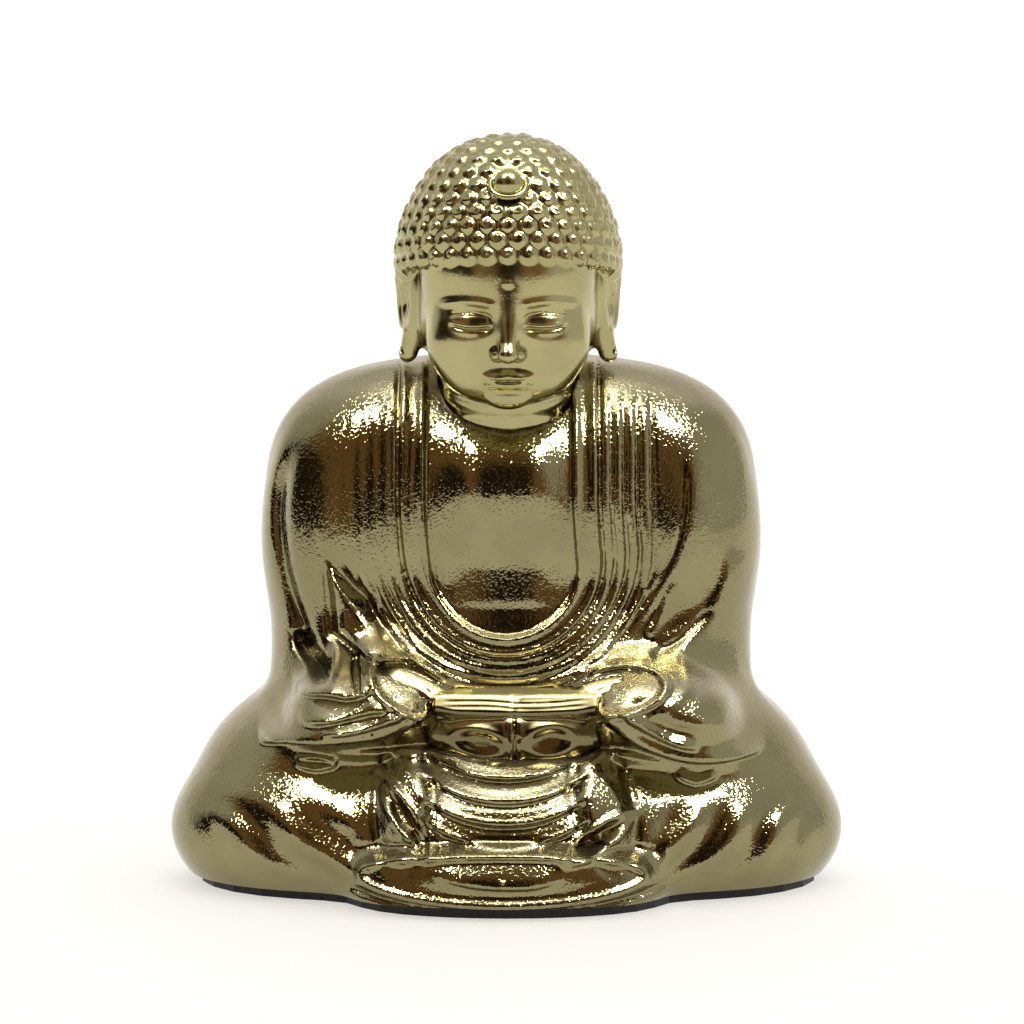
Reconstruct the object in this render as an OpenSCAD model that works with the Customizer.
// Seated meditation figure, cast in hollow sections that are soldered together.
// The figure faces -Y, +Z is up, and the origin is under its middle, on the surface it stands on.
// All lengths are in millimetres.

/* [Figure] */
// Height from the underside of the felt to the top of the head
figure_h = 80; // [80:0.5:84]
// Half of the width across the knees
knee_reach = 36; // [35:0.2:37]
// Half of the width across the upper arms
arm_reach = 27.1; // [26:0.1:28]
// How far the robe's hem reaches in front of the middle
hem_reach = 24.4; // [23.4:0.2:25.4]
// Height of the seam between the lap and the torso
waist_z = 16; // [15:0.5:17]

/* [Castings] */
// Wall of the lap and torso castings
body_wall = 2.2; // [1.8:0.1:2.6]
// Wall of the head casting
head_wall = 1.8; // [1.4:0.1:2.2]
// Gap round each spigot, collar and peg
fit_gap = 0.1; // [0.05:0.05:0.2]

/* [Neck] */
// Radius of the neck where it leaves the collar
neck_r = 7.4; // [7:0.1:8]
// How far the neck leans forward, in degrees
neck_lean = 14; // [12:1:18]
// Radius of the spigot under the neck
spigot_r = 5.2; // [4.6:0.1:5.6]
// Length of the spigot under the neck
spigot_l = 7; // [6.5:0.5:8]

/* [Base] */
// Thickness of the felt
felt_t = 1; // [0.8:0.1:1.4]
// Thickness of the steel plate that closes the underside
plate_t = 1.2; // [1:0.1:1.6]
// Radius of a base screw's thread
screw_r = 1; // [0.8:0.1:1.2]
// Length of a base screw
screw_l = 5; // [4:0.5:6]

/* [Hair jewel] */
// Radius of the round jewel at the front of the hair
jewel_r = 1.6; // [1.4:0.1:1.8]

/* [Hidden] */

gold = [0.83, 0.74, 0.47];
solder_grey = [0.62, 0.63, 0.64];
steel_grey = [0.55, 0.56, 0.58];
felt_black = [0.06, 0.06, 0.07];

body_columns = 60;      // columns round the lap and the torso
head_columns = 44;      // columns round the head
axis_y = 3.2;             // where the body's vertical axis stands, front to back
chest_z = 40;           // above this height the torso's rows fan out upwards
blend = 1.5;            // how softly neighbouring forms flow into each other
steps = 15;             // halvings in the search for the surface
reach_max = 48;         // further out than any surface

// Every form is [centre, radii, turn about Z, tip about X], and is mirrored to the other side.
body_forms = [
    // lap: knee, thigh, seat, shins, ankles under the hands, hem in front
    [[knee_reach - 15.2, -1.8, 5.6], [15.2, 13.6, 9.4], 14, 0],
    [[20, 3.4, 10.6], [12.6, 14, 10.2], 8, 0],
    [[0, 10, 6], [23, 14.4, 14], 0, 0],
    [[9, -7.6, 5.8], [17, 11, 8.8], 10, 0],
    [[0, -11, 8.6], [13, 9.6, 6.9], 0, 0],
    [[0, 7.7 - hem_reach, 1.8], [16, 7.6, 5.2], 0, 0],
    // torso: belly, chest, back, shoulder, nape, upper arm, elbow, forearm
    [[0, 1.2, 24], [17, 11.5, 12], 0, 0],
    [[0, 2.7, 38], [17, 11.5, 14], 0, 0],
    [[0, 10, 33], [20, 11.5, 19], 0, 0],
    [[9.6, 5.8, 45.2], [15.4, 10, 10], 0, 0],
    [[0, 8.4, 50], [9, 6.4, 6.6], 0, 0],
    [[arm_reach - 9.8, 4.7, 36], [9.6, 11, 15], 0, 0],
    [[16.8, 3.2, 23], [8.6, 10, 9.5], 0, 0],
    [[13.5, -6.8, 20], [9, 7.4, 5], -38, 0],
];
head_centre = [0, -1.4, 65];
head_forms = [
    // skull, mound of hair, face, chin, ear
    [[0, 0, 67], [12, 12.6, 10.6], 0, 0],
    [[0, 0.4, figure_h - 7], [8.2, 8.4, 7], 0, 0],
    [[0, -3.4, 61.4], [9.4, 9.6, 9.4], 0, 12],
    [[0, -9.8, 55], [4.4, 3.6, 2.8], 0, 0],
    [[10.3, 1.8, 61], [1.3, 3, 5.6], 0, 0],
];

function total(v) = v * [for (x = v) 1];
// Turns an offset into a form's own axes.
function unturned(d, turn, tip) =
    let (a = [d.x * cos(turn) + d.y * sin(turn), d.y * cos(turn) - d.x * sin(turn), d.z])
    [a.x, a.y * cos(tip) + a.z * sin(tip), a.z * cos(tip) - a.y * sin(tip)];
// Signed distance from a point to one form, near enough for blending.
function form_distance(p, form) =
    let (d = unturned(p - form[0], form[2], form[3]),
         r = form[1],
         q = [d.x / r.x, d.y / r.y, d.z / r.z],
         k0 = norm(q),
         k1 = norm([q.x / r.x, q.y / r.y, q.z / r.z]))
    k0 * (k0 - 1) / max(k1, 0.001);
// Signed distance to all the forms together, flowing into each other.
function field(p, forms) =
    let (m = [abs(p.x), p.y, p.z])
    -blend * ln(total([for (form = forms) exp(-form_distance(m, form) / blend)]));
// Distance along a ray from inside the forms to their surface.
function surface_at(origin, direction, forms, near = 0, far = reach_max, n = steps) =
    n == 0 ? (near + far) / 2
    : let (middle = (near + far) / 2)
      field(origin + middle * direction, forms) < 0
      ? surface_at(origin, direction, forms, middle, far, n - 1)
      : surface_at(origin, direction, forms, near, middle, n - 1);
// The direction of one column's ray, raised above the horizontal.
function ray(i, columns, rise) =
    let (turn = 360 * i / columns)
    [cos(turn) * cos(rise), sin(turn) * cos(rise), sin(rise)];
// One row of points round a middle, a set depth inside the surface.
function row(origin, rise, depth, forms, columns) =
    [for (i = [0 : columns - 1])
        let (d = ray(i, columns, rise))
        origin + d * (surface_at(origin, d, forms) - depth)];
function body_row(z, depth, rise = 0) = row([0, axis_y, z], rise, depth, body_forms, body_columns);
function head_row(rise, depth) = row(head_centre, rise, depth, head_forms, head_columns);
// A row's outline moved to another height, or held under a ceiling.
function at_height(row, z) = [for (p = row) [p.x, p.y, z]];
function held_under(row, z) = [for (p = row) [p.x, p.y, min(p.z, z)]];
function flat(row) = [for (p = row) [p.x, p.y]];
function reversed(list) = [for (k = [len(list) - 1 : -1 : 0]) list[k]];

// Two triangles between each pair of neighbours in rows a and b.
function strip(a, b, columns) =
    [for (i = [0 : columns - 1])
        let (j = (i + 1) % columns)
        each [[a * columns + i, b * columns + i, a * columns + j],
              [a * columns + j, b * columns + i, b * columns + j]]];
function walls(rows, columns) = [for (k = [0 : rows - 2]) each strip(k, k + 1, columns)];

// A ring whose section is a closed loop of rows.
module ring(rows, columns) {
    polyhedron([for (r = rows) each r],
               concat(walls(len(rows), columns), strip(len(rows) - 1, 0, columns)),
               convexity = 8);
}

// A solid whose first and last rows close in a point each.
module capped(rows, columns, first, last) {
    end = (len(rows) - 1) * columns;
    n = len(rows) * columns;
    polyhedron(concat([for (r = rows) each r], [first, last]),
               concat(walls(len(rows), columns),
                      [for (i = [0 : columns - 1]) [i, (i + 1) % columns, n]],
                      [for (i = [0 : columns - 1]) [end + (i + 1) % columns, end + i, n + 1]]),
               convexity = 8);
}

// ---- Lap ----
collar_drop = 2.6;      // how far the torso's collar reaches into the lap
ledge_z = felt_t + plate_t;
lap_heights = [felt_t, 1.8, 3.5, 5.5, 8, 10.5, waist_z - collar_drop, waist_z];
screw_spots = [[27.6, 1], [-27.6, 1], [9, 15.8], [-9, 15.8]];
boss_r = 2.6;
boss_h = screw_l + 0.8;
web_t = 2.4;
web_l = 6;

module lap_casting() {
    color(gold)
    difference() {
        union() {
            ring(concat([for (z = lap_heights) body_row(z, 0)],
                        [for (z = reversed(lap_heights)) body_row(z, body_wall)]), body_columns);
            for (spot = screw_spots) screw_boss(spot);
        }
        for (spot = screw_spots)
            translate([spot.x, spot.y, ledge_z - 1]) cylinder(r = screw_r, h = screw_l + 0.9, $fn = 24);
        hands_block(fit_gap);
    }
}

// A boss for a base screw, with a web that ties it to the nearest wall.
module screw_boss(spot) {
    to_wall = abs(spot.x) > abs(spot.y) ? (spot.x > 0 ? 0 : 180) : 90;
    translate([spot.x, spot.y, ledge_z]) {
        cylinder(r = boss_r, h = boss_h, $fn = 32);
        rotate([0, 0, to_wall]) translate([0, -web_t / 2, 0]) cube([web_l, web_t, boss_h - 1]);
    }
}

// ---- Torso ----
torso_heights = [waist_z, 18, 20, 22.5, 25.5, 28.5, 32, 36, chest_z];
torso_rises = [8, 16, 24, 32, 40, 48, 56, 66, 78];
torso_ceiling = 46.5;     // top of the hollow inside the torso
collar_wall = 1.2;
collar_depth = body_wall + fit_gap;
neck_root = [0, 1.4, 50];
seat_depth = 0.4;       // how far the neck stands in its round seat
neck_boss_wall = 2.4;   // wall of the boss round the neck's spigot
neck_boss_h = 4;

// Puts its children at the neck's root, with +Z up along the neck.
module on_neck() {
    translate(neck_root) rotate([neck_lean, 0, 0]) children();
}

module torso_casting() {
    outer = concat([for (z = torso_heights) body_row(z, 0)],
                   [for (rise = torso_rises) body_row(chest_z, 0, rise)]);
    inner = concat([for (z = torso_heights) body_row(z, z == waist_z ? collar_depth + collar_wall : body_wall)],
                   [for (rise = torso_rises)
                       held_under(body_row(chest_z, body_wall, rise), torso_ceiling)]);
    lip = body_row(waist_z, collar_depth);
    collar = [lip, at_height(lip, waist_z - collar_drop),
              at_height(inner[0], waist_z - collar_drop)];
    color(gold)
    difference() {
        union() {
            capped(reversed(concat(reversed(outer), collar, inner)), body_columns,
                   [0, axis_y, torso_ceiling], [0, axis_y, outer[len(outer) - 1][0].z + 0.3]);
            on_neck() translate([0, 0, solder_leg - spigot_l])
                cylinder(r = spigot_r + neck_boss_wall, h = neck_boss_h, $fn = 48);
        }
        on_neck() {
            translate([0, 0, solder_leg - spigot_l - 8])
                cylinder(r = spigot_r + solder_leg + 0.3, h = 8, $fn = 48);
            translate([0, 0, -12]) cylinder(r = spigot_r + fit_gap, h = 20, $fn = 48);
            translate([0, 0, -seat_depth]) cylinder(r = neck_r + fit_gap, h = 12, $fn = 48);
        }
        hands_block(fit_gap);
        for (spot = peg_spots) peg(spot, peg_r + fit_gap, peg_l + 4);
    }
}

// ---- Head ----
head_rises = [-78, -66, -56, -48, -40, -32, -24, -16, -8, 0, 8, 16, 25, 34, 44, 54, 66, 78];
spigot_bore_r = spigot_r - 1.4;
neck_l = 9;

module head_shape(depth) {
    capped([for (rise = head_rises) head_row(rise, depth)], head_columns,
           head_centre - [0, 0, surface_at(head_centre, [0, 0, -1], head_forms) - depth],
           head_centre + [0, 0, surface_at(head_centre, [0, 0, 1], head_forms) - depth]);
}

module head_casting() {
    color(gold)
    difference() {
        union() {
            head_shape(0);
            on_neck() {
                translate([0, 0, -seat_depth]) cylinder(r = neck_r, h = neck_l, $fn = 48);
                translate([0, 0, -spigot_l]) cylinder(r = spigot_r, h = spigot_l, $fn = 48);
            }
        }
        head_shape(head_wall);
        on_neck() translate([0, 0, -spigot_l - 1]) cylinder(r = spigot_bore_r, h = spigot_l + 10, $fn = 48);
        on_jewel() translate([0, 0, -head_wall - 3]) cylinder(r = jewel_peg_r + fit_gap, h = 8, $fn = 24);
        on_jewel() translate([0, 0, -jewel_sink]) cylinder(r = jewel_r + fit_gap, h = 4, $fn = 32);
    }
}

// ---- Hair jewel ----
jewel_rise = 48;        // how far up the front of the head the jewel sits, in degrees
jewel_sink = 0.3;
jewel_peg_r = 0.6;
jewel_peg_l = 2.2;
jewel_ray = [0, -cos(jewel_rise), sin(jewel_rise)];

// Puts its children on the head's surface at the jewel, with +Z pointing outwards.
module on_jewel() {
    translate(head_centre + jewel_ray * surface_at(head_centre, jewel_ray, head_forms))
        rotate([90 - jewel_rise, 0, 0]) children();
}

module hair_jewel() {
    color(gold)
    on_jewel() {
        translate([0, 0, -jewel_sink]) cylinder(r = jewel_r, h = jewel_sink + 0.2, $fn = 32);
        intersection() {
            translate([0, 0, 0.2]) sphere(r = jewel_r, $fn = 32);
            cylinder(r = jewel_r + 1, h = 4, $fn = 32);
        }
        translate([0, 0, -jewel_sink - jewel_peg_l]) cylinder(r = jewel_peg_r, h = jewel_peg_l + 0.1, $fn = 24);
    }
}

// ---- Hands ----
hands_back = -10.8;       // where the hands meet the belly
palm_z = 17;
palm_half = 6.5;
peg_spots = [[-4.6, 18.6], [4.6, 18.6]];
peg_r = 1.2;
peg_l = 5;
finger_r = 1.1;
thumb_r = 1.2;
loop_r = 1.7;           // radius of the ring that each index finger makes with its thumb
loop_z = 18.6;
loop_x = 2.9;

// The two palms, one in the other, as one rounded block.
module hands_block(grow = 0) {
    hull()
    for (side = [-1, 1]) {
        translate([side * palm_half, hands_back - 4.2, palm_z]) sphere(r = 1.8 + grow, $fn = 24);
        translate([side * palm_half, hands_back - 0.5, palm_z + 0.6]) sphere(r = 2.2 + grow, $fn = 24);
        translate([side * (palm_half + 1), hands_back - 1, palm_z + 3]) sphere(r = 1.6 + grow, $fn = 24);
        translate([side * 3, hands_back - 5.6, palm_z]) sphere(r = 1.5 + grow, $fn = 24);
    }
}

// A round peg that plugs into the belly from the front.
module peg(spot, r, l) {
    translate([spot.x, hands_back - 1, spot.y]) rotate([-90, 0, 0]) cylinder(r = r, h = l + 1, $fn = 32);
}

// An index finger bent up to meet the thumb.
module finger_loop(x) {
    translate([x, hands_back - 5.4, loop_z]) rotate([90, 0, 0])
        rotate_extrude($fn = 40) translate([loop_r, 0]) circle(r = finger_r, $fn = 20);
}

// Both thumbs, tip to tip above the index fingers.
module thumbs() {
    translate([0, hands_back - 4.8, loop_z + loop_r + 0.6]) hull()
    for (side = [-1, 1]) translate([side * palm_half, 0, 0]) sphere(r = thumb_r, $fn = 24);
}

module hands_casting() {
    color(gold) {
        hands_block();
        for (side = [-1, 1]) finger_loop(side * loop_x);
        thumbs();
        for (spot = peg_spots) peg(spot, peg_r, peg_l);
    }
}

// ---- Solder, run in from below before the base is closed ----
solder_leg = 1.2;

module fillet_ring(r) {
    rotate_extrude($fn = 48) translate([r, 0]) polygon([[0, 0], [solder_leg, 0], [0, -solder_leg]]);
}

// Fillet in the corner between the neck spigot and the underside of the neck boss.
module neck_solder() {
    color(solder_grey)
    translate([neck_root.x, neck_root.y, neck_root.z]) rotate([neck_lean, 0, 0])
        translate([0, 0, -spigot_l + solder_leg]) fillet_ring(spigot_r);
}

// Fillet all the way round, under the torso's collar.
module waist_solder() {
    z = waist_z - collar_drop;
    color(solder_grey)
    ring([at_height(body_row(z, body_wall + 0.05), z - solder_leg),
          at_height(body_row(z, body_wall), z),
          at_height(body_row(waist_z, collar_depth + collar_wall), z)], body_columns);
}

module peg_solder() {
    color(solder_grey)
    for (spot = peg_spots)
        translate([spot.x, hands_back + peg_l - 0.4, spot.y]) rotate([90, 0, 0]) fillet_ring(peg_r);
}

// ---- Base ----
head_of_screw_r = 2;
head_of_screw_h = 1;
plate_gap = 0.15;

module base_plate() {
    outline = flat(body_row(felt_t, body_wall + plate_gap));
    color(steel_grey)
    translate([0, 0, felt_t]) difference() {
        linear_extrude(plate_t) polygon(outline);
        for (spot = screw_spots) translate([spot.x, spot.y, 0]) {
            translate([0, 0, -1]) cylinder(r = screw_r + fit_gap, h = plate_t + 2, $fn = 24);
            cylinder(r1 = head_of_screw_r + fit_gap, r2 = screw_r + fit_gap, h = head_of_screw_h, $fn = 32);
        }
    }
}

module base_screw() {
    difference() {
        union() {
            cylinder(r1 = head_of_screw_r, r2 = screw_r, h = head_of_screw_h, $fn = 32);
            cylinder(r = screw_r, h = screw_l + head_of_screw_h, $fn = 24);
        }
        for (turn = [0, 90]) rotate([0, 0, turn]) translate([-1.2, -0.2, -0.1]) cube([2.4, 0.4, 0.6]);
    }
}

module base_screws() {
    color(steel_grey)
    for (spot = screw_spots) translate([spot.x, spot.y, felt_t]) base_screw();
}

module felt_pad() {
    color(felt_black) linear_extrude(felt_t) polygon(flat(body_row(felt_t, 1)));
}

lap_casting();
torso_casting();
head_casting();
hands_casting();
hair_jewel();
neck_solder();
waist_solder();
peg_solder();
base_plate();
base_screws();
felt_pad();
